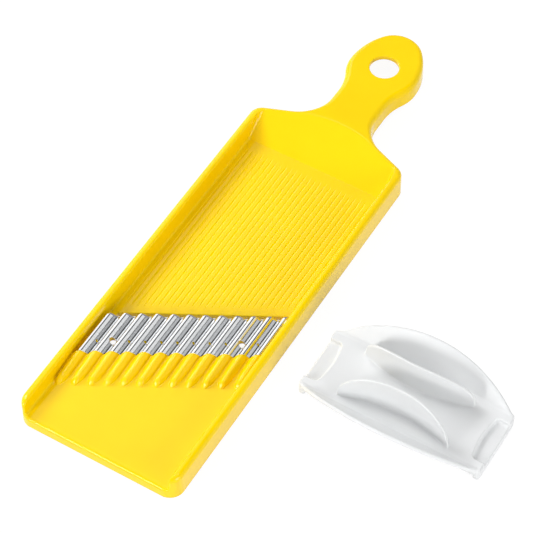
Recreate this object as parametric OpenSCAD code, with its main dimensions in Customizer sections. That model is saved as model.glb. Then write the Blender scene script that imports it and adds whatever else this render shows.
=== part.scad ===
// Hand slicer with a corrugated blade, and its loose safety holder lying beside it.
// Lengths are in millimetres and +Z is up. The slicer lies flat with its handle along +Y.
// The origin is on the centreline, at table level, in the middle of the front wall's foot.

/* [Tray] */
// Width of the tray over its side rails
body_w = 92; // [84:1:104]
// Length from the front edge to the shoulder corners
body_len = 225; // [218:1:245]
// Height of the side rails above the table
rail_h = 15.2; // [14.4:0.2:20]
// Thickness of the side rails
rail_t = 4.2; // [3.4:0.2:5]
// Radius of the front corners, seen from above
front_corner_r = 8; // [5.5:0.5:12]
// Radius of the shoulder corners, seen from above
shoulder_corner_r = 5; // [3:0.5:8]
// Angle at which the shoulders run back to the handle
shoulder_angle = 21.8; // [16:0.2:26]
// Thickness of the ramp plate and the landing plate
plate_t = 3; // [2:0.2:3.4]
// Height of the grooved ramp
ramp_z = 4.2; // [3.6:0.1:5]
// Height of the landing in front of the blade
landing_z = 6.7; // [5.8:0.1:7.6]
// Thickness of the wall under the front edge
front_wall_t = 3; // [2:0.2:5]
// Distance from the front edge to the foot of the sloping end wall
ramp_end = 210.7; // [198:0.5:212]
// Thickness of the end wall at its top edge
end_wall_t = 2.5; // [1.6:0.1:4]
// Radius of the arch in the end wall's top edge
end_arch_r = 53; // [35:1:70]

/* [Ramp grooves] */
// Distance between neighbouring grooves
groove_pitch = 3; // [2.2:0.1:5]
// Depth of a groove
groove_depth = 0.4; // [0.2:0.05:0.8]
// Radius of the tool that cuts a groove
groove_r = 0.8; // [0.6:0.1:1.2]
// Plain strip between the grooves and the rails
groove_margin = 4; // [2:0.5:10]
// Plain strip between the grooves and the slot
groove_front_gap = 5.7; // [3:0.1:12]
// Plain strip between the grooves and the end wall
groove_back_gap = 6.2; // [3:0.1:12]

/* [Blade] */
// Angle between the cutting edge and the tray's width
skew = 29.2; // [20:0.2:32]
// Distance between neighbouring ridges
blade_pitch = 7; // [5.5:0.1:9]
// Height of the ridges above the valleys
wave_h = 3.1; // [2:0.1:3.6]
// How sharp the ridges are, from a soft wave to a straight zigzag
wave_sharpness = 0.95; // [0.8:0.01:0.98]
// Thickness of the blade, measured upright
blade_t = 0.6; // [0.4:0.05:0.8]
// Height of the valleys above the landing
blade_lift = 1.7; // [1.2:0.1:2.4]
// Distance from the front edge to the blade's visible back edge, on the centreline
blade_back = 65.7; // [62:0.1:75]
// Visible length of the blade along the tray
blade_len = 27; // [23:0.5:32]
// Length of the blade that is held inside the moulding
blade_embed = 2; // [1:0.1:2.2]
// Clearance between the blade's ends and the rails
blade_side_gap = 1.5; // [1:0.1:3]
// Length of flank past the first and the last ridge
blade_end_flank = 1.2; // [0.8:0.1:1.6]
// Slot between the cutting edge and the ramp, along the tray
slot_gap = 5.9; // [4.5:0.1:8]
// Length of the bed under the blade, along the tray
bed_len = 12.5; // [11.9:0.1:16]
// Distance from the blade's visible back edge to the row of holes
hole_row = 9; // [7.5:0.1:9.2]
// Diameter of the moulded studs that fill the small holes
stud_d = 1.7; // [1:0.1:2.2]
// Diameter of the two open locating holes
locating_hole_d = 4.2; // [3:0.1:4.6]

/* [Fingers] */
// Length of the fingers in front of the blade
finger_len = 19.7; // [14:0.1:24]
// Cover of the moulding over the blade's back edge
finger_cover = 0.6; // [0.5:0.05:0.9]
// Radius of a finger at the blade
finger_r = 3.15; // [2.8:0.05:3.4]
// Radius of a finger's round tip
finger_tip_r = 1.9; // [1.4:0.1:2.3]
// Height of the tip's centre above the landing
finger_tip_rise = 0.3; // [0:0.1:0.8]

/* [Handle] */
// Half width of the neck
neck_half_w = 14.7; // [11:0.1:17]
// Radius between the shoulders and the neck
neck_root_r = 20; // [12:0.5:24]
// Radius between the neck and the head
neck_head_r = 30; // [20:0.5:45]
// Distance from the front edge to the centre of the head
head_y = 283.9; // [282:0.1:305]
// Half width of the head
head_half_w = 20.7; // [19:0.1:25]
// Radius of the head's sides towards the neck
head_side_r = 22; // [20.9:0.1:28]
// Length of the head from its centre to its tip
head_tip_len = 29; // [26:0.1:36]
// Radius of the head's tip
head_tip_r = 16; // [12:0.1:18]
// Height of the head's top above the table
head_z = 13.9; // [12:0.1:14.4]
// Height of the handle's lower edge above the table
handle_foot = 3.4; // [1:0.1:5]
// Thickness of the skin over the hollow in the handle and end wall
skin_t = 3; // [2:0.1:4]
// Thickness of the handle's side walls
side_t = 2.8; // [2:0.1:4]
// Diameter of the hanging hole
hang_d = 16.4; // [10:0.2:20]
// Distance of the hanging hole past the centre of the head
hang_shift = 1.6; // [0:0.1:3]

/* [Holder] */
// Clearance between each lip and the rail that it rides outside
holder_clear = 0.7; // [0.4:0.05:1.5]
// Thickness of the end lips
lip_t = 3.5; // [2.4:0.1:5]
// Width of the holder's deck
deck_w = 38; // [34:0.5:46]
// Height of the deck's top above the lips' feet
deck_z = 8.2; // [7.4:0.1:11]
// Thickness of the deck
deck_t = 2.2; // [1.6:0.1:2.8]
// Depth of the recess in each end of the deck
recess_depth = 3; // [2:0.1:3.4]
// Length of the recess along the end
recess_w = 26; // [18:0.5:30]
// Distance that the recess reaches in from the end
recess_reach = 7; // [6:0.1:10]
// Bow of the recess's inner edge
recess_bow = 1.8; // [1:0.1:3]
// Thickness of the ledge under the recess, which rides on the rail
ledge_t = 2.2; // [1.6:0.1:2.4]
// Angle at which the side flaps rise
flap_angle = 47.5; // [25:0.5:60]
// Height of a flap from its fold to the middle of its curved edge
flap_h = 18.6; // [10:0.1:24]
// Thickness of the side flaps
flap_t = 2; // [1.4:0.1:2.8]
// Length of each finger rib
rib_len = 61; // [50:1:68]
// Height of the finger ribs above the deck
rib_h = 18.5; // [12:0.5:24]
// Thickness of the finger ribs
rib_t = 1.8; // [1.4:0.1:3]
// Gap between the two ribs at their middle
rib_gap = 14.7; // [11:0.1:17]
// Bow of the ribs towards each other
rib_bow = 5.9; // [2:0.1:7]
// Squareness of the ribs' arched top, from an ellipse upwards
rib_power = 2.4; // [2:0.1:3.6]
// Length of the gripping pins under the deck
pin_len = 5; // [3:0.1:5.1]
// Radius of a gripping pin at the deck
pin_r = 1.3; // [1:0.1:1.6]
// Radius of a gripping pin at its point
pin_tip_r = 0.4; // [0.3:0.05:0.8]
// Distance between neighbouring gripping pins
pin_pitch = 10; // [7:0.5:14]
// Gap on the table between the tray and the holder
holder_gap = 17.3; // [5:0.1:40]
// Distance from the front edge to the middle of the holder
holder_y = 104; // [60:0.1:180]

/* [Hidden] */
$fn = 64;
eps = 0.01;
// Room that a cut runs past the material that it leaves
past = 2;
// Overlap by which one moulded wall runs into the next
weld = 1;

inner_hw = body_w / 2 - rail_t;
tip_y = head_y + head_tip_len;
slot_front = blade_back + bed_len;
edge_y = blade_back + blade_len;
ramp_front = edge_y + slot_gap;
valley_z = landing_z + blade_lift;
plate_z = landing_z - plate_t;

ridge_room = 2 * (inner_hw - blade_side_gap - blade_end_flank);
ridge_count = floor(ridge_room / blade_pitch) + 1;
first_ridge = -(ridge_count - 1) * blade_pitch / 2;
blade_hw = -first_ridge + blade_end_flank;

groove_count = floor(2 * (inner_hw - groove_margin) / groove_pitch) + 1;
first_groove = -(groove_count - 1) * groove_pitch / 2;

holder_len = body_w + 2 * (holder_clear + lip_t);
holder_x = body_w / 2 + holder_gap + holder_len / 2;
hang_y = head_y + hang_shift;

// Distance from the front edge of a skewed line that crosses the centreline at d
function skew_y(d, x) = d + x * tan(skew);

// Height of the blade's upper face at x
function wave_z(x) =
    let (turn = cos(360 * (x - first_ridge) / blade_pitch))
    let (share = 0.5 + 0.5 * asin(wave_sharpness * turn) / asin(wave_sharpness))
    valley_z + wave_h * share;

// Points of the wave's upper or lower face, from -hw to hw
wave_steps = 16;
function wave_points(hw, drop) =
    let (step = blade_pitch / wave_steps)
    let (n = ceil(2 * hw / step))
    [for (i = [0:n]) let (x = -hw + 2 * hw * i / n) [x, wave_z(x) - drop]];

// Points on an arc, the first one left out where the arc carries on from another
arc_step = 6;
function arc(c, r, a0, a1, first = 0) =
    let (n = ceil(abs(a1 - a0) / arc_step))
    [for (i = [first:n]) let (a = a0 + (a1 - a0) * i / n) c + r * [cos(a), sin(a)]];

// Heights that shape the shoulders, neck and head in plan
turn_angle = 90 - shoulder_angle;
corner_y = body_len - shoulder_corner_r * tan(turn_angle / 2);
root_x = neck_half_w + neck_root_r;
root_y = body_len
    + (neck_root_r - cos(turn_angle) * (root_x - body_w / 2)) / sin(turn_angle);
side_sum = head_side_r + neck_head_r;
neck_slack = head_half_w - neck_half_w;
neck_y = head_y - sqrt(side_sum ^ 2 - (side_sum - neck_slack) ^ 2);
neck_turn = asin((head_y - neck_y) / side_sum);
tip_rise = head_tip_len - head_tip_r;
upper_r = (head_half_w ^ 2 + tip_rise ^ 2 - head_tip_r ^ 2) / (2 * (head_half_w - head_tip_r));
tip_turn = atan2(tip_rise, upper_r - head_half_w);

// Right half of the whole outline, drawn in by e, from the front corner to the tip
function half_outline(e) = concat(
    arc([body_w / 2 - front_corner_r, front_corner_r], front_corner_r - e, -90, 0),
    arc([body_w / 2 - shoulder_corner_r, corner_y], shoulder_corner_r - e, 0, turn_angle),
    arc([root_x, root_y], neck_root_r + e, 180 + turn_angle, 180),
    arc([neck_half_w + neck_head_r, neck_y], neck_head_r + e, 180, 180 - neck_turn),
    arc([head_half_w - head_side_r, head_y], head_side_r - e, -neck_turn, 0, 1),
    arc([head_half_w - upper_r, head_y], upper_r - e, 0, tip_turn, 1),
    arc([0, tip_y - head_tip_r], head_tip_r - e, tip_turn, 90, 1)
);
function outline(e) =
    let (right = half_outline(e), n = len(right))
    concat(right, [for (i = [n - 2:-1:0]) [-right[i][0], right[i][1]]]);

// Top edge of the end wall: lines along the shoulders, joined by an arch
arch_x = end_arch_r * sin(shoulder_angle);
function shoulder_y(x) =
    body_len + (body_w / 2 - abs(x)) * tan(shoulder_angle) - end_wall_t / cos(shoulder_angle);
arch_y = shoulder_y(arch_x) - end_arch_r * cos(shoulder_angle);
function wall_top_y(x) =
    abs(x) < arch_x ? arch_y + sqrt(end_arch_r ^ 2 - x ^ 2) : shoulder_y(x);
crest_y = wall_top_y(0);
wall_slope = (rail_h - ramp_z) / (crest_y - ramp_end);

// Places the slicer so that the middle of the front wall's foot is the origin
module from_front_edge() {
    translate([0, -front_wall_t / 2, 0]) children();
}

// Extrudes a profile of [distance from the front edge, height] across the tray
module across(half_w, profile) {
    rotate([90, 0, 90])
        linear_extrude(height = 2 * half_w, center = true) polygon(profile);
}

// Extrudes such a profile along the skewed line of the blade
module along_skew(profile) {
    rotate([0, 0, skew])
        rotate([90, 0, 90])
            linear_extrude(height = 2 * body_w, center = true)
                polygon([for (p = profile) [p[0] * cos(skew), p[1]]]);
}

// Flat plate between two skewed or straight lines
module plate(half_w, front_l, front_r, back_l, back_r, z, t) {
    translate([0, 0, z])
        linear_extrude(height = t)
            polygon([[-half_w, front_l], [half_w, front_r], [half_w, back_r], [-half_w, back_l]]);
}

// Whole outline as an upright prism, drawn in by e
module outline_prism(e, z, h) {
    translate([0, 0, z]) linear_extrude(height = h) polygon(outline(e));
}

// Corrugated sheet between two distances from the front edge
module wave_sheet(from_d, to_d) {
    profile = concat(wave_points(blade_hw, 0),
        [for (i = [len(wave_points(blade_hw, blade_t)) - 1:-1:0]) wave_points(blade_hw, blade_t)[i]]);
    reach = body_w * tan(skew);
    intersection() {
        translate([0, to_d + reach, 0])
            rotate([90, 0, 0])
                linear_extrude(height = to_d - from_d + 2 * reach) polygon(profile);
        along_skew([[from_d, 0], [to_d, 0], [to_d, 2 * rail_h], [from_d, 2 * rail_h]]);
    }
}

// One upright cylinder in the valley after ridge i
module valley_peg(i, d, z0, z1) {
    x = first_ridge + (i + 0.5) * blade_pitch;
    translate([x, skew_y(blade_back + hole_row, x), z0]) cylinder(d = d, h = z1 - z0);
}

// The second valley from each end has an open hole
function is_locating(i) = i == 1 || i == ridge_count - 3;

module rails() {
    round_r = rail_t / 2;
    intersection() {
        outline_prism(0, 0, rail_h);
        for (side = [-1, 1])
            translate([side * (body_w / 2 - round_r), body_len + rail_t, 0])
                rotate([90, 0, 0])
                    linear_extrude(height = body_len + rail_t + past)
                        union() {
                            translate([-round_r, 0]) square([rail_t, rail_h - round_r]);
                            translate([0, rail_h - round_r]) circle(r = round_r);
                        }
    }
}

module ramp() {
    half_w = inner_hw + weld;
    far_y = ramp_end + weld;
    difference() {
        plate(half_w, skew_y(ramp_front, -half_w), skew_y(ramp_front, half_w), far_y, far_y,
            ramp_z - plate_t, plate_t);
        for (i = [0:groove_count - 1])
            groove(first_groove + i * groove_pitch);
    }
}

module groove(x) {
    from_y = skew_y(ramp_front + groove_front_gap, x);
    translate([x, from_y, ramp_z - groove_depth + groove_r])
        rotate([-90, 0, 0]) cylinder(r = groove_r, h = ramp_end - groove_back_gap - from_y, $fn = 24);
}

module landing() {
    half_w = inner_hw + weld;
    intersection() {
        outline_prism(0, 0, rail_h);
        union() {
            plate(half_w, -past, -past, skew_y(slot_front, -half_w), skew_y(slot_front, half_w),
                plate_z, plate_t);
            plate(half_w, -past, -past, front_wall_t, front_wall_t, 0, plate_z + weld);
        }
    }
}

// Bed under the blade, with a corrugated top that carries the sheet
module bed() {
    half_w = inner_hw + weld;
    reach = body_w * tan(skew);
    profile = concat([[-half_w, plate_z]], wave_points(half_w, blade_t), [[half_w, plate_z]]);
    intersection() {
        translate([0, slot_front + reach, 0])
            rotate([90, 0, 0])
                linear_extrude(height = bed_len + 2 * reach) polygon(profile);
        along_skew([[blade_back - weld, 0], [slot_front, 0], [slot_front, rail_h], [blade_back - weld, rail_h]]);
    }
}

// Sloping floor and round fingers that lead the food off the blade
module fingers() {
    tip_line = blade_back - finger_len;
    floor_z = valley_z + finger_cover;
    intersection() {
        union() {
            along_skew([[tip_line, plate_z], [tip_line, landing_z], [blade_back, floor_z], [blade_back, plate_z]]);
            along_skew_clip() for (i = [0:ridge_count - 1]) finger(first_ridge + i * blade_pitch);
        }
        translate([-inner_hw - weld, -past, 0])
            cube([2 * (inner_hw + weld), body_len, rail_h]);
    }
}

// Cuts the fingers off square to the sheet where the blade comes out
module along_skew_clip() {
    intersection() {
        children();
        along_skew([[0, plate_z], [blade_back, plate_z], [blade_back, rail_h], [0, rail_h]]);
    }
}

module finger(x) {
    root_z = valley_z + wave_h + finger_cover - finger_r;
    tip_z = landing_z + finger_tip_rise;
    // The cone runs past the blade's edge so that the skewed cut leaves no hollow
    extra = finger_r * tan(skew) + weld;
    run = finger_len - finger_tip_r;
    drop = root_z - tip_z;
    length = norm([run, drop]);
    grow = (finger_r - finger_tip_r) / length;
    tilt = atan2(drop, run);
    translate([x, skew_y(blade_back, x) - run, tip_z]) {
        sphere(r = finger_tip_r);
        rotate([tilt - 90, 0, 0])
            cylinder(r1 = finger_tip_r, r2 = finger_r + grow * extra, h = length + extra);
    }
}

// Pocket over the ramp's end: a ruled surface from the straight foot to the arched top edge
module end_pocket() {
    n = 28;
    over = 2;
    lean = over / wall_slope;
    half_w = inner_hw + weld / 2;
    xs = [for (i = [0:n]) -half_w + 2 * half_w * i / n];
    points = [for (x = xs) each [
        [x, ramp_end - 2 * weld, ramp_z],
        [x, ramp_end, ramp_z],
        [x, wall_top_y(x), rail_h],
        [x, wall_top_y(x) + lean, rail_h + over],
        [x, ramp_end - 2 * weld, rail_h + over]]];
    m = 5;
    skins = [for (i = [0:n - 1], k = [0:m - 1])
        let (a = i * m + k, b = i * m + (k + 1) % m) each [[a, b + m, b], [a, a + m, b + m]]];
    caps = [[for (k = [0:m - 1]) k], [for (k = [m - 1:-1:0]) n * m + k]];
    polyhedron(points, concat(skins, caps));
}

// End wall, shoulders and handle, hollow from below
module tail() {
    start = ramp_end - weld;
    flat_y = neck_y;
    past_tip = tip_y + past;
    outer = [[start, 0], [crest_y - 4 * weld, 0], [crest_y + 4 * weld, handle_foot], [past_tip, handle_foot],
        [past_tip, head_z], [flat_y, head_z], [crest_y, rail_h], [start, rail_h]];
    hollow_y = ramp_end + past;
    ceiling = rail_h - skin_t - (crest_y - hollow_y) * wall_slope - skin_t * (1 / cos(atan(wall_slope)) - 1);
    hollow = [[hollow_y, -past], [hollow_y, ceiling],
        [crest_y - past, ceiling + (crest_y - past - hollow_y) * wall_slope],
        [flat_y, head_z - skin_t], [past_tip, head_z - skin_t], [past_tip, -past]];
    difference() {
        intersection() {
            outline_prism(0, 0, rail_h);
            across(body_w, outer);
        }
        end_pocket();
        intersection() {
            outline_prism(side_t, -2 * past, rail_h + 2 * past);
            across(inner_hw - side_t, hollow);
        }
        // The rails fill the sides and the shoulder corners
        for (side = [-1, 1])
            translate([side * (inner_hw + weld / 4 + rail_t), start, rail_h / 2])
                cube([2 * rail_t, body_len, rail_h + 2 * past], center = true);
        translate([0, hang_y, 0]) cylinder(d = hang_d, h = rail_h + past);
    }
}

// Yellow one-piece moulding: rails, ramp, landing, fingers, end wall and handle
module slicer_body() {
    color([1, 0.86, 0])
        from_front_edge()
            difference() {
                union() {
                    rails();
                    ramp();
                    landing();
                    bed();
                    fingers();
                    tail();
                    for (i = [0:ridge_count - 2])
                        if (!is_locating(i)) valley_peg(i, stud_d, plate_z + weld, valley_z);
                }
                wave_sheet(blade_back - blade_embed, blade_back + eps);
                for (i = [0:ridge_count - 2])
                    if (is_locating(i)) valley_peg(i, locating_hole_d, 0, rail_h);
            }
}

// Corrugated stainless blade, moulded into the body at its back edge
module wavy_blade() {
    color([0.75, 0.76, 0.78])
        from_front_edge()
            difference() {
                wave_sheet(blade_back - blade_embed, edge_y);
                for (i = [0:ridge_count - 2])
                    valley_peg(i, is_locating(i) ? locating_hole_d : stud_d, 0, rail_h);
            }
}

// Deck of the holder with its end lips, recesses and ledges
module holder_deck() {
    half_len = holder_len / 2;
    lip_in = half_len - lip_t;
    ledge_z = deck_z - recess_depth;
    bow_r = ((recess_w / 2) ^ 2 + recess_bow ^ 2) / (2 * recess_bow);
    difference() {
        union() {
            translate([-half_len, -deck_w / 2, deck_z - deck_t]) cube([holder_len, deck_w, deck_t]);
            for (side = [-1, 1])
                translate([side * (half_len - lip_t / 2), 0, 0]) {
                    translate([-lip_t / 2, -deck_w / 2, lip_t / 2]) cube([lip_t, deck_w, deck_z - lip_t / 2]);
                    translate([0, deck_w / 2, lip_t / 2]) rotate([90, 0, 0]) cylinder(d = lip_t, h = deck_w);
                }
            for (side = [-1, 1])
                translate([side * (half_len - recess_reach / 2 - recess_bow), 0, ledge_z - ledge_t / 2])
                    cube([recess_reach + 2 * recess_bow, deck_w, ledge_t], center = true);
            for (side = [-1, 1])
                translate([side * (half_len - recess_reach - 2 * recess_bow), 0, deck_z - deck_t / 2])
                    translate([-deck_t / 2, -deck_w / 2, -recess_depth - ledge_t + deck_t / 2])
                        cube([deck_t, deck_w, recess_depth + ledge_t - deck_t / 2]);
        }
        for (side = [0, 180])
            rotate([0, 0, side])
                translate([half_len - recess_reach, 0, ledge_z])
                    linear_extrude(height = recess_depth + past)
                        intersection() {
                            translate([bow_r - recess_bow, 0]) circle(r = bow_r, $fn = 128);
                            translate([-2 * past, -recess_w / 2]) square([recess_reach + 3 * past, recess_w]);
                        }
        // Room for the rails under the ledges, open at both sides
        for (side = [-1, 1])
            translate([side * lip_in - (side > 0 ? recess_reach + 4 * recess_bow : 0), -deck_w, -past])
                cube([recess_reach + 4 * recess_bow, 2 * deck_w, ledge_z - ledge_t + past]);
    }
}

// Side flap: a flat round segment that rises from the deck's long edge
module flap() {
    chord = holder_len / 2 - lip_t / 2;
    r = (chord ^ 2 + flap_h ^ 2) / (2 * flap_h);
    translate([0, deck_w / 2, deck_z - deck_t / 2])
        rotate([flap_angle, 0, 0])
            translate([0, 0, -flap_t / 2])
                linear_extrude(height = flap_t)
                    intersection() {
                        translate([0, flap_h - r]) circle(r = r, $fn = 180);
                        translate([-chord, -flap_t / 4]) square([2 * chord, flap_h + past]);
                    }
}

// Finger rib: an upright wall, bowed in plan, with an arched top
module rib() {
    half = rib_len / 2;
    r = (half ^ 2 + rib_bow ^ 2) / (2 * rib_bow);
    sunk = deck_t / 2;
    steps = 48;
    arch = [for (i = [0:steps])
        let (a = 180 * i / steps, c = cos(a))
        [half * sign(c) * abs(c) ^ (2 / rib_power), sunk + rib_h * sin(a) ^ (2 / rib_power)]];
    intersection() {
        translate([0, rib_gap / 2 + r, deck_z - sunk])
            difference() {
                cylinder(r = r, h = rib_h + past, $fn = 180);
                translate([0, 0, -past]) cylinder(r = r - rib_t, h = rib_h + 3 * past, $fn = 180);
            }
        translate([0, deck_w / 2, deck_z - sunk])
            rotate([90, 0, 0])
                linear_extrude(height = deck_w / 2)
                    polygon(concat([[half, 0]], arch, [[-half, 0]]));
    }
}

// Rows of gripping pins under the deck
module pins() {
    columns = floor((holder_len - 2 * (lip_t + recess_reach + 3 * recess_bow)) / pin_pitch);
    rows = floor((deck_w - 2 * pin_r - 2 * weld) / pin_pitch);
    for (i = [0:columns - 1], k = [0:rows - 1])
        translate([(i - (columns - 1) / 2) * pin_pitch, (k - (rows - 1) / 2) * pin_pitch,
            deck_z - deck_t - pin_len])
            cylinder(r1 = pin_tip_r, r2 = pin_r, h = pin_len + deck_t / 2, $fn = 24);
}

// White one-piece moulding that holds the food and guards the fingers
module safety_holder() {
    color([0.94, 0.94, 0.94])
        from_front_edge()
            translate([holder_x, holder_y, 0]) {
                holder_deck();
                for (side = [0, 180])
                    rotate([0, 0, side]) {
                        flap();
                        rib();
                    }
                pins();
            }
}

slicer_body();
wavy_blade();
safety_holder();
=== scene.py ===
import math

import bmesh
import bpy
import numpy as np
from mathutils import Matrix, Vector

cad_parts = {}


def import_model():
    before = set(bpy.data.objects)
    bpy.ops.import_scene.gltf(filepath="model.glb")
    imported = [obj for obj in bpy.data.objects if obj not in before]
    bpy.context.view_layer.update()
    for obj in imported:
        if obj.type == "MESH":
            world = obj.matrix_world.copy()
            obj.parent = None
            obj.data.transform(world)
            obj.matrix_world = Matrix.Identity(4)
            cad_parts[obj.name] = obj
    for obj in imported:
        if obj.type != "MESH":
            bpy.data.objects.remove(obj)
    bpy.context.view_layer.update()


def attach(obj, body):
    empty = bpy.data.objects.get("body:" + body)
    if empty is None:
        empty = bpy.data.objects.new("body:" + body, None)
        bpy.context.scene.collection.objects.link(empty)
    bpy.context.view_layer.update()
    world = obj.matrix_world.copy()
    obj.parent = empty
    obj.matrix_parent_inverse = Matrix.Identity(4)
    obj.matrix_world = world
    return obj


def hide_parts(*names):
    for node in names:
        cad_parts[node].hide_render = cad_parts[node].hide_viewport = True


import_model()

# Sizes in millimetres, most of them the CAD source's, some fitted to the photograph.
# Y is measured from the tray's front edge, which lies ORIGIN_Y before the frame's origin.
ORIGIN_Y = 1.5
# Tray: half width, length, height of the rails, half width between them
HALF_W, LENGTH, RAIL_H, INNER = 46.0, 225.0, 15.2, 41.2
# Its plan: radii of the front and rear corners, and the turn of the outline at the rear ones
FRONT_R, CORNER_R, TURN = 8.0, 7.5, math.radians(68.2)
# Height of the landing, height of the ramp, and where the ramp ends
LANDING, RAMP, RAMP_END = 6.7, 4.2, 210.7
# The end wall's upper edge: radius of its arch, and thickness of the wall behind it
ARCH_R, WALL_T = 53.0, 2.5
# Lines at the blade's skew, by their Y at the middle: blade's back, bed's end, cutting edge, ramp's front
SKEW = math.radians(29.2)
TAN, COS = math.tan(SKEW), math.cos(SKEW)
BACK, BED_END, EDGE, RAMP_FRONT = 65.7, 78.2, 92.7, 98.6
# The bed and its shelves run under the landing by this much
LAP = 1
# Blade: spacing of the ridges, place of the first, height of the wave and of its valleys, thickness, ends
PITCH, RIDGE, WAVE_H, VALLEY, SHEET = 7.0, -38.5, 3.2, 8.3, 0.6
BLADE_L, BLADE_R = -38.7, 41.0
# Its holes: line they lie on, first one, how many, and where the two open locating holes are
HOLES_Y, HOLE_X, HOLES, LOCATING_X = 74.7, -35, 11, 28
# Grooves of the ramp: first one, spacing, how many
GROOVE_X, GROOVE_PITCH, GROOVES = -37.5, 3, 26
# Handle: half widths of neck and head, Y of the head's widest place and of the tip, height of the head
NECK, HEAD_W, HEAD_Y, TIP_Y, HEAD_Z = 14.7, 20.7, 283.9, 312.9, 13.9
# Its radii in plan: root, neck, side of the head, tip
ROOT_R, NECK_R, SIDE_R, TIP_R = 20.0, 30.0, 22.0, 16.0
# Holder: its middle in plan, half length, half width, upper face of its deck
HOLDER_X, HOLDER_Y = 113.5, 104.0
HOLDER_L, HOLDER_W, DECK = 50.2, 19, 8.2


# ---------------------------------------------------------------- tools for distance fields
def ease(v, start, over):
    """0 up to start, then smoothly to 1."""
    t = np.clip((v - start) / over, 0, 1)
    return t * t * (3 - 2 * t)


def rmax(a, b, r):
    """Common part of two solids, its edge rounded to r."""
    return np.minimum(np.maximum(a, b), -r) + np.hypot(np.maximum(a + r, 0), np.maximum(b + r, 0))


def rmin(a, b, r):
    """Two solids joined, with a fillet of r between them."""
    return -rmax(-a, -b, r)


def across(s, first, last):
    """Strip between two lines at the blade's skew."""
    return np.maximum(s - last, first - s) * COS


def nearest(x, first, pitch, count):
    """Place along x of the nearest of count evenly set features."""
    return first + pitch * np.clip(np.round((x - first) / pitch), 0, count - 1)


def arc_radius(half, rise):
    """Radius of an arc from half its chord and its rise."""
    return (half ** 2 + rise ** 2) / (2 * rise)


# ---------------------------------------------------------------- plan of the slicer
cos_turn, sin_turn = math.cos(TURN), math.sin(TURN)
root_x = NECK + ROOT_R
root_y = LENGTH + (ROOT_R - cos_turn * (root_x - HALF_W)) / sin_turn
side_sum = SIDE_R + NECK_R
neck_y = HEAD_Y - math.sqrt(side_sum ** 2 - (side_sum - HEAD_W + NECK) ** 2)
neck_turn = math.asin((HEAD_Y - neck_y) / side_sum)
tip_rise = TIP_Y - TIP_R - HEAD_Y
upper_r = (HEAD_W ** 2 + tip_rise ** 2 - TIP_R ** 2) / (2 * (HEAD_W - TIP_R))
tip_turn = math.atan2(tip_rise, upper_r - HEAD_W)
corner_cut = CORNER_R * math.tan(TURN / 2)
corner_y = LENGTH - corner_cut
# The straight shoulder between rear corner and handle, measured from the corner's point
shoulder_end = (root_y - LENGTH) * cos_turn - (root_x - HALF_W) * sin_turn
# Arcs of the right half: centre, radius, first and last angle, and 1 where the centre is inside
ARCS = [
    (HALF_W - FRONT_R, FRONT_R, FRONT_R, -math.pi / 2, 0, 1),
    (HALF_W - CORNER_R, corner_y, CORNER_R, 0, TURN, 1),
    (root_x, root_y, ROOT_R, -math.pi, TURN - math.pi, -1),
    (NECK + NECK_R, neck_y, NECK_R, math.pi - neck_turn, math.pi, -1),
    (HEAD_W - SIDE_R, HEAD_Y, SIDE_R, -neck_turn, 0, 1),
    (HEAD_W - upper_r, HEAD_Y, upper_r, 0, tip_turn, 1),
    (0, TIP_Y - TIP_R, TIP_R, tip_turn, math.pi / 2, 1),
]


def plan(x, y):
    """Distance from the slicer's outline in plan, below zero inside it."""
    slack = 1e-4  # lets neighbouring arcs meet
    x = np.abs(x)
    far = np.full(np.broadcast(x, y).shape, 1e6)
    parts = []
    for cx, cy, r, first, last, sign in ARCS:
        angle = np.arctan2(y - cy, x - cx)
        d = sign * (np.hypot(x - cx, y - cy) - r)
        parts.append(np.where((angle >= first - slack) & (angle <= last + slack), d, far))
    parts.append(np.where(x <= HALF_W - FRONT_R, -y, far))
    parts.append(np.where((y >= FRONT_R) & (y <= corner_y), x - HALF_W, far))
    along = (y - LENGTH) * cos_turn - (x - HALF_W) * sin_turn
    slant = (x - HALF_W) * cos_turn + (y - LENGTH) * sin_turn
    parts.append(np.where((along >= corner_cut) & (along <= shoulder_end), slant, far))
    parts.append(np.where((y >= root_y) & (y <= neck_y), x - NECK, far))
    parts = np.stack(parts)
    pick = np.abs(parts).argmin(0)
    return np.take_along_axis(parts, pick[None], 0)[0]


# One turn of the blade's wave: flat flanks between narrow crests and valleys, the corners eased
WAVE_SHIFT, EASE_SAMPLES = 0.45, 80
turn_x = np.linspace(0, PITCH, 1401)
sharp = np.interp(turn_x, (0, 0.7, 3.6, 4.25, 6.25, PITCH), (1, 1, 0, 0, 1, 1))
looped = np.concatenate([sharp[-EASE_SAMPLES - 1:-1], sharp, sharp[1:EASE_SAMPLES + 1]])
window = 2 * EASE_SAMPLES + 1
eased = np.convolve(looped, np.full(window, 1 / window), "valid")


def wave(x):
    """Height of the blade's upper face."""
    return VALLEY + WAVE_H * np.interp((x - RIDGE - WAVE_SHIFT) % PITCH, turn_x, eased)


def holes(x, y):
    """Distance from the axis of the blade's nearest hole, and whether that is a locating hole."""
    hx = nearest(x, HOLE_X, PITCH, HOLES)
    return np.hypot(x - hx, y - HOLES_Y - hx * TAN), np.abs(np.abs(hx) - LOCATING_X) < 0.1


# ---------------------------------------------------------------- yellow moulding
SHOULDER = math.pi / 2 - TURN


def shoulder_line(x):
    """Inner edge of the wall along the shoulder."""
    return LENGTH + (HALF_W - x) * math.tan(SHOULDER) - WALL_T / math.cos(SHOULDER)


arch_x = ARCH_R * math.sin(SHOULDER)
arch_y = shoulder_line(arch_x) - ARCH_R * math.cos(SHOULDER)


def wall_top(x):
    """Where the end wall reaches its top edge."""
    x = np.abs(x)
    arch = arch_y + np.sqrt(np.maximum(ARCH_R ** 2 - x ** 2, 0))
    return np.where(x < arch_x, arch, shoulder_line(x))


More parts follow.
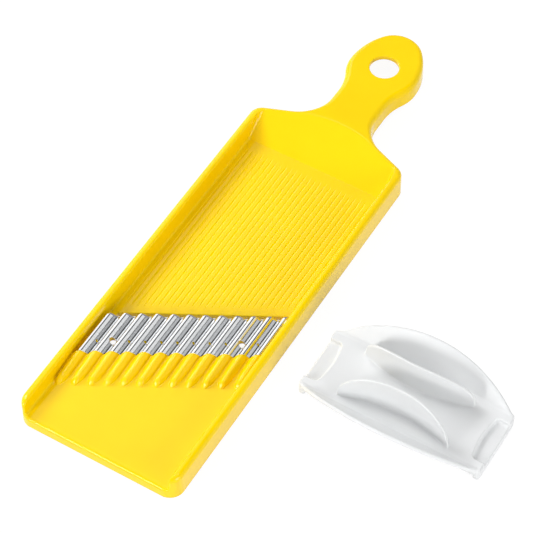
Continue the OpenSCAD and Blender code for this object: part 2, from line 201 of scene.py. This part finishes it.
def outside(y, z, d):
    """Drafted walls, with soft upper edges that grow rounder at the handle and the front ends."""
    handle, tip, front = ease(y, 232, 22), ease(y, 290, 18), 1 - ease(y, 0, 9)
    top = RAIL_H - (RAIL_H - HEAD_Z) * ease(y, 233, 29)
    draft = 0.018 + 0.03 * handle
    edge_r = 2.5 + 0.8 * handle - 1.0 * tip + 0.8 * front
    return rmax(d + draft * z, z - top, edge_r)


def tray_floor(x, y, z, s):
    """What fills the tray from below: landing, bed of the blade, grooved ramp and end wall."""
    ax, right = np.abs(x), x > 0
    # The landing rises a little before it reaches the blade
    lift, lift_from, lift_over = 2.05, 46, 19.7
    rise = LANDING + lift * np.clip((s - lift_from) / lift_over, 0, 1)
    landing = rmax(z - rise, (s - BACK) * COS, 0.2)
    # The bed follows the wave with a small gap; flank turns heights above the wave into distances
    gap, flank, bed_mid, bed_half = 0.12, 0.7, 0.4, 38.9
    bed = np.maximum((z - wave(x) + SHEET + gap) * flank, across(s, BACK - LAP, BED_END))
    bed = np.maximum(bed, np.abs(x - bed_mid) - bed_half)
    bed = np.minimum(bed, np.maximum(z - LANDING, (s - BED_END) * COS))
    # Shelves beside the rails: wide ones below the blade's ends, narrow ones on to the ramp
    wide = np.maximum(37.2 - ax, across(s, BACK - LAP, EDGE - 0.8))
    narrow = np.maximum(np.where(right, 39.6, 37.4) - ax, across(s, BACK - LAP, RAMP_FRONT + 1))
    shelf = np.maximum(z - np.where(right, 7.0, 4.6), np.minimum(wide, narrow))
    # Grooves are round below, and grow shallow towards both ends
    groove_r, groove_up, fade, fade_l = 0.55, 0.38, 0.06, 2.7
    first, last = RAMP_FRONT + 5.7, RAMP_END - 6.2
    groove = np.hypot(x - nearest(x, GROOVE_X, GROOVE_PITCH, GROOVES), z - RAMP - groove_up) - groove_r
    groove = groove + fade * (np.maximum(first + fade_l - s, 0) + np.maximum(y - last + fade_l, 0))
    groove = np.maximum(np.maximum(groove, (first - s) * COS), y - last)
    ramp = rmax(rmax(z - RAMP, (RAMP_FRONT - s) * COS, 0.6), -groove, 0.1)
    lean = (RAIL_H - RAMP) / (wall_top(x) - RAMP_END)
    wall = (z - RAMP - (y - RAMP_END) * lean) / np.sqrt(1 + lean ** 2)
    return rmin(np.minimum(np.minimum(landing, np.minimum(bed, shelf)), ramp), wall, 0.12)


def fingers(x, y, z, s):
    """Ridges in line with the blade's that lead the food off it, each with a bullet nose."""
    count, shift, length, half_w = 12, 0.25, 20.6, 3.1
    fx = nearest(x, shift + RIDGE, PITCH, count)
    u = y - BACK - fx * TAN + length
    # A roof of two flanks at 45 degrees, whose crest rises towards the blade
    crest, climb, diagonal, crest_r = 10.9, 0.115, 0.707, 1.8
    roof = z - crest - climb * (u - 7)
    finger = rmax((roof + x - fx) * diagonal, (roof - x + fx) * diagonal, crest_r)
    # The nose: a steep front above the landing, and sides that draw in
    nose_z, nose_slope, nose_scale, nose_l, taper = 7.0, 0.9, 0.743, 13, 0.238
    finger = rmax(finger, (z - nose_z - nose_slope * u) * nose_scale, 0.9)
    finger = rmax(finger, np.hypot(x - fx, np.maximum(nose_l - u, 0) * taper) - half_w, 0.8)
    return rmax(finger, (s - BACK) * COS, 0.12)


def hollows(x, y, z, s, d):
    """Spaces below the landing, below the ramp, and below the end wall and handle."""
    floor_t, split = 3, 88
    ax = np.abs(x)
    front = rmax(rmax(ax - INNER, 3 - y, 2), z - LANDING + floor_t, 0.8)
    front = np.maximum(front, (s - split) * COS)
    under = rmax(rmax(ax - INNER, y - RAMP_END + 1, 1), z - RAMP + floor_t, 0.4)
    under = np.maximum(under, (split - s) * COS)
    # The rear one's ceiling climbs with the end wall, up to the handle's
    rear_y, rear_wall, rear_half = RAMP_END + 2, 2.8, 39
    low, climb, high, scale = 1.8, 0.4247, 11, 0.94
    ceiling = np.minimum(low + (y - rear_y) * climb, high)
    rear = rmax(np.maximum(d + rear_wall, ax - rear_half), rear_y - y, 1.5)
    rear = rmax(rear, (z - ceiling) * scale, 1.2)
    return np.minimum(np.minimum(front, under), rear)


def body_field(x, y, z):
    s = y - x * TAN
    d = plan(x, y)
    # The channel between the rails is cut down to the tray's floor; its edges change at the end wall
    at_end = ease(y, RAMP_END + 2, 8)
    rail_draft, draft_z = 0.02, 6
    foot_r, brim_r = 1.3 + 1.7 * at_end, 1.4 * (1 - at_end) + 0.45 * at_end
    rails = np.abs(x) - INNER - rail_draft * (z - draft_z)
    channel = rmax(rails, -tray_floor(x, y, z, s), foot_r)
    solid = rmax(outside(y, z, d), -channel, brim_r)
    solid = rmin(solid, fingers(x, y, z, s), 0.15)
    # Studs fill the blade's small holes; below the two locating holes the bed is open and flares out
    stud_r, stud_down, open_r, flare, flare_z, flare_scale = 0.5, 1.0, 1.9, 0.7, 6.9, 0.82
    hole, locating = holes(x, y)
    stud = rmax(hole - stud_r, z - VALLEY + stud_down, 0.12)
    clear = (open_r + flare * np.maximum(flare_z - z, 0) - hole) * flare_scale
    solid = np.where(locating, rmax(solid, clear, 0.15), np.minimum(solid, stud))
    solid = rmax(solid, -hollows(x, y, z, s, d), 0.3)
    # Hanging hole, and the handle's underside, which is lifted off the table
    hang_r, hang_y, foot = 8.1, 285.5, 3.4 * ease(y, 232.6, 8)
    solid = rmax(solid, hang_r - np.hypot(x, y - hang_y), 0.4)
    return rmax(solid, foot - z, 0.5)


# ---------------------------------------------------------------- corrugated blade
def blade_field(x, y, z):
    flank, bevel, bevel_l, tuck, locating_r, small_r = 0.75, 0.25, 1.0, 0.1, 1.75, 0.6
    s = y - x * TAN
    w = z - wave(x)
    # The cutting edge is ground on its upper side
    ground = w + bevel * np.maximum(s - EDGE + bevel_l, 0)
    sheet = rmax(np.maximum(w, ground) * flank, (-SHEET - w) * flank, 0.04)
    sheet = rmax(sheet, np.maximum(BLADE_L - x, x - BLADE_R), 0.08)
    sheet = rmax(sheet, across(s, BACK - tuck, EDGE), 0.03)
    hole, locating = holes(x, y)
    return rmax(sheet, np.where(locating, locating_r, small_r) - hole, 0.06)


# ---------------------------------------------------------------- white holder
def end_parts(x, y, z):
    """Deck, with a step down to a ledge and a lip at each end, and a recess in each ledge."""
    deck_low, ledge_low, ledge_top, step_x, step_half, lip_t = 6, 3, 7, 39.6, 1.1, 3.5
    ax, ay = np.abs(x), np.abs(y)
    sides = rmax(ax - HOLDER_L, ay - HOLDER_W, 1.6)
    deck = rmax(sides, np.maximum(z - DECK, deck_low - z), 0.7)
    riser = np.maximum(np.abs(ax - step_x) - step_half, ay - HOLDER_W)
    riser = np.maximum(riser, np.maximum(z - 8, ledge_low - z))
    ledge = np.maximum(np.maximum(step_x - ax, sides), np.maximum(z - ledge_top, ledge_low - z))
    lip = rmax(rmax(sides, HOLDER_L - lip_t - ax, 0.9), z - DECK, 1.1)
    lip = rmax(lip, -z, 1.3)
    solid = np.minimum(np.minimum(deck, riser), np.minimum(ledge, lip))
    # The recess is bowed on its inner side
    recess_x, recess_half, bow, recess_z = 43.2, 13, 1.8, 5.2
    bow_r = arc_radius(recess_half, bow)
    recess = rmax(np.hypot(ax - recess_x - bow_r + bow, y) - bow_r, ay - recess_half, 1.6)
    return rmax(solid, -rmax(recess, recess_z - z, 1.5), 0.8)


def flaps(x, y, z):
    """Flat round segments that rise from the long edges."""
    half, height, thick, root_z, slope = 48.45, 18.6, 1, 7.1, math.radians(47.5)
    out, up = np.abs(y) - HOLDER_W, z - root_z
    along = out * math.cos(slope) + up * math.sin(slope)
    through = up * math.cos(slope) - out * math.sin(slope)
    radius = arc_radius(half, height)
    flap = rmax(np.hypot(x, along - height + radius) - radius, np.abs(x) - half, 1)
    return rmax(np.maximum(flap, -0.5 - along), np.abs(through) - thick, 0.75)


def ribs(x, y, z):
    """Finger ribs: bowed walls with an arched top."""
    half, height, power, bow, inner_y, half_t, draft = 30.5, 18.5, 2.4, 5.9, 7.35, 0.9, 0.012
    ax = np.abs(x)
    u, h = ax / half, np.maximum(z - DECK, 0) / height
    q = np.maximum((u ** power + h ** power) ** (1 / power), 1e-3)
    slope = np.hypot(u ** (power - 1) / half, h ** (power - 1) / height) / q ** (power - 1)
    arch = (q - 1) / np.maximum(slope, 0.02)
    radius = arc_radius(half, bow)
    bowed = np.hypot(x, np.abs(y) - inner_y - radius) - radius + half_t
    rib = rmax(arch, np.abs(bowed) - half_t + draft * (z - 8), 0.6)
    return np.maximum(rib, 7 - z)


def pins(x, y, z):
    """Tapered gripping pins below the deck."""
    pin_r, taper, scale, root_z, tip_z = 1.3, 0.18, 0.98, 6, 1
    px, py = nearest(x, -25, 10, 6), nearest(y, -10, 10, 3)
    pin = (np.hypot(x - px, y - py) - pin_r + (root_z - z) * taper) * scale
    return rmax(pin, np.maximum(tip_z - z, z - 7), 0.3)


def holder_field(x, y, z):
    solid = rmin(end_parts(x, y, z), flaps(x, y, z), 1.4)
    solid = rmin(solid, ribs(x, y, z), 0.9)
    return rmin(solid, pins(x, y, z), 0.4)


# ---------------------------------------------------------------- from field to mesh
def steps(start, *runs):
    """Grid lines from start on: each run is (last value, spacing)."""
    lines = [start]
    for last, gap in runs:
        n = max(1, round((last - lines[-1]) / gap))
        lines.extend(np.linspace(lines[-1], last, n + 1)[1:])
    return np.array(lines)


def gradient(field, p):
    h = 0.01
    g = np.empty_like(p)
    for k in range(3):
        step = np.zeros(3)
        step[k] = h
        g[:, k] = (field(*(p + step).T) - field(*(p - step).T)) / (2 * h)
    return g


def surface(field, xs, ys, zs, place):
    """Points and faces of a solid's surface, one point per grid cell that the surface crosses."""
    px, py, pz = place(xs[:, None, None], ys[None, :, None], zs[None, None, :])
    f = field(px, py, pz)
    shape = f.shape
    px, py, pz = (np.broadcast_to(p, shape) for p in (px, py, pz))
    inside = f < 0
    count = np.zeros([n - 1 for n in shape], np.uint8)
    corners = [(a, b, c) for a in (0, 1) for b in (0, 1) for c in (0, 1)]
    for a, b, c in corners:
        count += inside[a:shape[0] - 1 + a, b:shape[1] - 1 + b, c:shape[2] - 1 + c]
    i, j, k = np.nonzero((count > 0) & (count < 8))
    index = np.full(count.shape, -1, np.int64)
    index[i, j, k] = np.arange(len(i))
    # Each point starts at the mean of where the cell's edges cross the surface
    fv = [f[i + a, j + b, k + c] for a, b, c in corners]
    pv = [np.stack([q[i + a, j + b, k + c] for q in (px, py, pz)], 1) for a, b, c in corners]
    total, hits = np.zeros((len(i), 3)), np.zeros(len(i))
    for u in range(8):
        for v in (u | 1, u | 2, u | 4):
            if v == u:
                continue
            cross = (fv[u] < 0) != (fv[v] < 0)
            t = np.where(cross, fv[u] / np.where(cross, fv[u] - fv[v], 1), 0)[:, None]
            total += np.where(cross[:, None], pv[u] + t * (pv[v] - pv[u]), 0)
            hits += cross
    p = total / hits[:, None]
    # Newton steps bring it onto the surface
    most, least_slope = 0.25, 0.3
    for _ in range(3):
        g = gradient(field, p)
        length = np.maximum(np.linalg.norm(g, axis=1), least_slope)
        p -= (np.clip(field(*p.T) / length, -most, most) / length)[:, None] * g
    quads = []
    for axis in range(3):
        near = np.moveaxis(inside, axis, 0)
        cells = np.moveaxis(index, axis, 0)
        a, b = near[:-1, 1:-1, 1:-1], near[1:, 1:-1, 1:-1]
        ring = [cells[:, :-1, :-1], cells[:, 1:, :-1], cells[:, 1:, 1:], cells[:, :-1, 1:]]
        ring = np.stack(ring, -1)
        if axis == 1:
            ring = ring[..., ::-1]
        quads += [ring[a & ~b], ring[~a & b][:, ::-1]]
    quads = np.concatenate(quads)
    # Blocks of cells get a number from 0 to 7 that differs from their neighbours'
    size = 16
    block = i // size % 2 + 2 * (j // size % 2) + 4 * (k // size % 2)
    return p, quads, block[quads[:, 0]]


def thin_out(mesh, block):
    """Make flat areas few faces, one block at a time. A material index keeps the blocks apart."""
    mesh.polygons.foreach_set("material_index", block.astype(np.int32))
    bm = bmesh.new()
    bm.from_mesh(mesh)
    bmesh.ops.dissolve_limit(bm, angle_limit=math.radians(0.06), use_dissolve_boundaries=False,
                             verts=bm.verts, edges=bm.edges, delimit={"MATERIAL"})
    bmesh.ops.triangulate(bm, faces=[face for face in bm.faces if len(face.verts) > 4])
    bm.to_mesh(mesh)
    bm.free()
    mesh.polygons.foreach_set("material_index", np.zeros(len(mesh.polygons), np.int32))


def read(items, name, width=1, kind=float):
    """A property of all vertices, loops or faces, as an array."""
    values = np.empty(len(items) * width, kind)
    items.foreach_get(name, values)
    return values.reshape(-1, width) if width > 1 else values


def shade(mesh, field, shift, flat):
    """Normals from the field, and faces wider than flat both ways kept flat."""
    mesh.shade_smooth()
    at = read(mesh.vertices, "co", 3)
    normal = gradient(field, at * 1000 - shift)
    normal /= np.maximum(np.linalg.norm(normal, axis=1), 1e-6)[:, None]
    loops = read(mesh.loops, "vertex_index", kind=np.int64)
    normal, at = normal[loops], at[loops] * 1000
    start = read(mesh.polygons, "loop_start", kind=int)
    sides = read(mesh.polygons, "loop_total", kind=int)
    area = read(mesh.polygons, "area") * 1e6
    facing = read(mesh.polygons, "normal", 3)
    for count in (3, 4):
        rows = np.nonzero(sides == count)[0]
        ring = start[rows, None] + np.arange(count)
        longest = np.linalg.norm(at[ring] - at[np.roll(ring, 1, 1)], axis=2).max(1)
        wide = area[rows] / longest > flat
        normal[ring[wide]] = facing[rows[wide], None]
    mesh.normals_split_custom_set(normal.tolist())


def skin(name, field, xs, ys, zs, place, shift, flat):
    """Object with the surface of a solid, moved by shift and in metres."""
    p, quads, block = surface(field, xs, ys, zs, place)
    mesh = bpy.data.meshes.new(name)
    mesh.from_pydata(((p + shift) * 0.001).tolist(), [], quads.tolist())
    thin_out(mesh, block)
    shade(mesh, field, shift, flat)
    ob = bpy.data.objects.new(name, mesh)
    bpy.context.scene.collection.objects.link(ob)
    return ob


def tray_grid(x, t, z):
    """Rows that run straight at both ends and along the blade's skew between them."""
    turn = np.clip((t - 8) / 36, 0, 1) - np.clip((t - 106) / 94, 0, 1)
    return x, t + x * TAN * turn, z


def blade_grid(x, t, w):
    """Rows along the blade's skew, and layers that follow its wave."""
    return x, t + x * TAN, wave(x) + w


def plain_grid(x, y, z):
    return x, y, z


SLICER_AT = np.array([0, -ORIGIN_Y, 0])
HOLDER_AT = np.array([HOLDER_X, HOLDER_Y - ORIGIN_Y, 0])
FLAT = 0.9
# Columns close up at each groove of the ramp
beside = (-1.5, -1.05, -0.6, -0.36, -0.12, 0.12, 0.36, 0.6, 1.05)
columns = [GROOVE_X + GROOVE_PITCH * n + offset for n in range(GROOVES) for offset in beside]
columns = np.concatenate([steps(-46.5, (-39, 0.5))[:-1], columns, steps(39, (46.5, 0.5))])
rows = steps(-0.7, (9, 0.5), (44, 1.4), (80, 0.5), (96, 1), (107, 0.5), (202, 2.4), (313.5, 0.6))
body = skin("body_moulding", body_field, columns, rows, steps(-0.55, (15.75, 0.5)),
            tray_grid, SLICER_AT, FLAT)
rows = steps(65.3, (72, 0.6), (77.4, 0.2), (90, 0.7), (92.95, 0.15))
blade = skin("blade_sheet", blade_field, steps(-39.95, (39.95, 0.17)), rows, steps(-0.81, (0.15, 0.16)),
             blade_grid, SLICER_AT, math.inf)
holder = skin("holder_moulding", holder_field, steps(-50.7, (50.7, 0.5)), steps(-33.5, (33.5, 0.45)),
              steps(-0.6, (27.4, 0.45)), plain_grid, HOLDER_AT, FLAT)


# ---------------------------------------------------------------- materials
class Tree:
    """A node tree, built a node at a time."""

    def __init__(self, tree):
        self.tree = tree

    def add(self, kind, **sockets):
        """A shader node; sockets are set by name, with _ for a space."""
        node = self.tree.nodes.new("ShaderNode" + kind)
        for name, value in sockets.items():
            node.inputs[name.replace("_", " ")].default_value = value
        return node

    def link(self, source, socket):
        self.tree.links.new(source, socket)

    def math(self, operation, a, b):
        node = self.add("Math")
        node.operation = operation
        self.link(a, node.inputs[0])
        self.link(b, node.inputs[1])
        return node.outputs["Value"]

    def span(self, source, first, last, low=0, high=1):
        """The source's range from first to last, brought to low and high and kept between them."""
        node = self.add("MapRange", From_Min=first, From_Max=last, To_Min=low, To_Max=high)
        self.link(source, node.inputs["Value"])
        return node.outputs["Result"]

    def ramp(self, source, *stops):
        node = self.add("ValToRGB")
        elements = node.color_ramp.elements
        while len(elements) < len(stops):
            elements.new(0.5)
        for element, (at, colour) in zip(elements, stops):
            element.position = at
            element.color = (*colour, 1)
        self.link(source, node.inputs["Fac"])
        return node.outputs["Color"]

    def mix(self, share, a, b):
        node = self.add("MixShader")
        self.link(share, node.inputs["Fac"])
        self.link(a, node.inputs[1])
        self.link(b, node.inputs[2])
        return node.outputs["Shader"]

    def seen_rays(self, mirror_share=None):
        """1 for what the camera sees, straight or in a mirror or glass, there times mirror_share."""
        rays = self.add("LightPath").outputs
        mirrored = self.math("MAXIMUM", rays["Is Glossy Ray"], rays["Is Transmission Ray"])
        if mirror_share:
            mirrored = self.math("MULTIPLY", mirrored, mirror_share)
        return self.math("MAXIMUM", rays["Is Camera Ray"], mirrored)


class Material(Tree):
    """A material with one Principled shader, patterned in object coordinates."""

    def __init__(self, name):
        self.material = bpy.data.materials.new(name)
        self.material.use_nodes = True
        super().__init__(self.material.node_tree)
        self.shader = self.tree.nodes["Principled BSDF"]
        self.place = self.add("TexCoord").outputs["Object"]

    def scaled(self, scale):
        node = self.add("Mapping", Scale=scale)
        self.link(self.place, node.inputs["Vector"])
        return node.outputs["Vector"]

    def noise(self, scale, detail=3, rough=0.5, stretch=None):
        node = self.add("TexNoise", Scale=scale, Detail=detail, Roughness=rough)
        self.link(self.scaled(stretch) if stretch else self.place, node.inputs["Vector"])
        return node.outputs["Fac"]

    def bump(self, source, strength, distance, normal=None):
        node = self.add("Bump", Strength=strength, Distance=distance)
        self.link(source, node.inputs["Height"])
        if normal:
            self.link(normal, node.inputs["Normal"])
        return node.outputs["Normal"]

    def feed(self, **sources):
        """Link sources to the shader's sockets by name, with _ for a space."""
        for name, source in sources.items():
            self.link(source, self.shader.inputs[name.replace("_", " ")])


# Most of a noise's values lie between these
LOW, HIGH = 0.3, 0.7


def plastic(name, dark, light, rough):
    """Moulded plastic: faint clouds of colour and gloss, slight flow marks and a fine grain."""
    m = Material(name)
    flow = m.bump(m.noise(40, 2), 0.05, 0.0004)
    m.feed(Base_Color=m.ramp(m.noise(28, 4, 0.55), (LOW, dark), (HIGH, light)),
           Roughness=m.span(m.noise(90, 5, 0.6), LOW, HIGH, *rough),
           Normal=m.bump(m.noise(1500, 2), 0.03, 0.00004, flow))
    m.shader.inputs["Specular IOR Level"].default_value = 0.27
    return m.material


def steel(name):
    """Brushed steel: grinding streaks along the ridges, and fine flecks."""
    m = Material(name)
    streak = m.noise(1, 4, 0.6, (1500, 90, 300))
    fleck = m.noise(2600, 2, 0.6)
    brushed = m.bump(streak, 0.06, 0.00005)
    m.feed(Base_Color=m.ramp(fleck, (0.35, (0.66, 0.67, 0.68)), (0.62, (0.80, 0.81, 0.82))),
           Roughness=m.span(streak, LOW, HIGH, 0.08, 0.16),
           Normal=m.bump(fleck, 0.05, 0.00003, brushed))
    m.shader.inputs["Metallic"].default_value = 1.0
    return m.material


def dress(ob, material, rides, node):
    ob.data.materials.append(material)
    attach(ob, rides)
    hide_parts(node)


dress(body, plastic("yellow_plastic", (0.95, 0.645, 0.0), (0.98, 0.685, 0.001), (0.08, 0.13)),
      "slicer", "slicer_body")
dress(blade, steel("blade_steel"), "slicer", "wavy_blade")
dress(holder, plastic("white_plastic", (0.75, 0.76, 0.765), (0.79, 0.8, 0.805), (0.28, 0.38)),
      "holder", "safety_holder")


# ---------------------------------------------------------------- floor, light and camera
def grey(level):
    return level, level, level


def floor():
    half, z = 3.0, -0.0002
    mesh = bpy.data.meshes.new("floor")
    mesh.from_pydata([(-half, -half, z), (half, -half, z), (half, half, z), (-half, half, z)],
                     [], [(0, 1, 2, 3)])
    ob = bpy.data.objects.new("floor", mesh)
    bpy.context.scene.collection.objects.link(ob)
    m = Material("floor_paper")
    m.feed(Base_Color=m.ramp(m.noise(6, 3), (LOW, grey(0.80)), (HIGH, grey(0.82))))
    m.shader.inputs["Roughness"].default_value = 0.9
    m.shader.inputs["Specular IOR Level"].default_value = 0.1
    # Seen by the camera or in a mirror, it is lifted to paper white and keeps its soft shadow
    paper = m.add("BsdfDiffuse", Color=(*grey(0.1), 1))
    lift = m.add("Emission", Strength=0.94)
    seen = m.add("AddShader")
    m.link(paper.outputs["BSDF"], seen.inputs[0])
    m.link(lift.outputs["Emission"], seen.inputs[1])
    both = m.mix(m.seen_rays(), m.shader.outputs["BSDF"], seen.outputs["Shader"])
    m.link(both, m.tree.nodes["Material Output"].inputs["Surface"])
    mesh.materials.append(m.material)


def world():
    """Even light in front; behind, soft boxes that run along the tray with dim gaps between them."""
    studio = bpy.data.worlds.new("studio")
    bpy.context.scene.world = studio
    studio.use_nodes = True
    w = Tree(studio.node_tree)
    way = w.add("SeparateXYZ")
    w.link(w.add("TexCoord").outputs["Generated"], way.inputs["Vector"])
    x, y, z = (way.outputs[axis] for axis in "XYZ")

    def light(level):
        return w.add("Background", Color=(*grey(level), 1)).outputs["Background"]

    # Brightness of the soft boxes from left, 0, to right, 1
    stops = [(0.0, 0.5), (0.07, 0.12), (0.11, 0.12), (0.14, 1.45), (0.36, 1.45), (0.42, 0.9),
             (0.44, 0.9), (0.47, 0.03), (0.60, 0.03), (0.68, 0.1), (0.82, 0.1), (0.85, 0.5), (0.885, 1.0)]
    boxes = w.add("Background")
    across_room = w.span(x, -1, 1)
    w.link(w.ramp(across_room, *((at, grey(level)) for at, level in stops)), boxes.inputs["Color"])
    # Towards the back: even light, then the boxes, then a dimmer wall
    rear = w.mix(w.span(y, 0.53, 0.58), boxes.outputs["Background"], light(0.35))
    room = w.mix(w.span(y, 0.15, 0.4), light(0.42), rear)
    # White backdrop: all round for the camera, up to a low height in a mirror, where the soft boxes start
    shown = w.mix(w.seen_rays(w.span(z, 0.2, 0.1)), room, light(1))
    w.link(shown, w.tree.nodes["World Output"].inputs["Surface"])


def lamp(name, at, aim, size, power):
    data = bpy.data.lights.new(name, "AREA")
    data.shape, data.size, data.energy = "DISK", size, power
    ob = bpy.data.objects.new(name, data)
    ob.location = at
    ob.rotation_euler = (Vector(aim) - Vector(at)).to_track_quat("-Z", "Y").to_euler()
    bpy.context.scene.collection.objects.link(ob)


def camera():
    """The photograph's camera: its angle, distance and focal length were fitted to the tray's outline."""
    focal_px, image_px, sensor_mm, distance = 2210, 533, 36, 1.138
    azimuth, elevation = math.radians(30.97), math.radians(52.53)
    data = bpy.data.cameras.new("camera")
    data.sensor_width = sensor_mm
    data.lens = focal_px / image_px * sensor_mm
    data.clip_end = 20
    away = Vector((math.sin(azimuth) * math.cos(elevation), -math.cos(azimuth) * math.cos(elevation),
                   math.sin(elevation)))
    ob = bpy.data.objects.new("camera", data)
    ob.location = Vector((0.0099, 0.1427, 0)) + away * distance
    ob.rotation_euler = away.to_track_quat("Z", "Y").to_euler()
    bpy.context.scene.collection.objects.link(ob)
    bpy.context.scene.camera = ob


MIDDLE = (0.03, 0.14, 0)
floor()
world()
lamp("key", (-0.98, 0.27, 0.88), MIDDLE, 0.6, 7.8)
lamp("front", (-0.38, -1.05, 0.50), (0.05, 0.08, 0), 0.45, 7.5)
lamp("top", (0.08, 0.35, 1.33), MIDDLE, 0.4, 2.5)
lamp("fill", (1.03, -0.22, 0.3), (0.06, 0.12, 0), 0.6, 4.7)
lamp("rim", (-1.0, 1.0, 0.7), MIDDLE, 0.8, 2.5)
camera()
bpy.context.scene.view_settings.view_transform = "Standard"
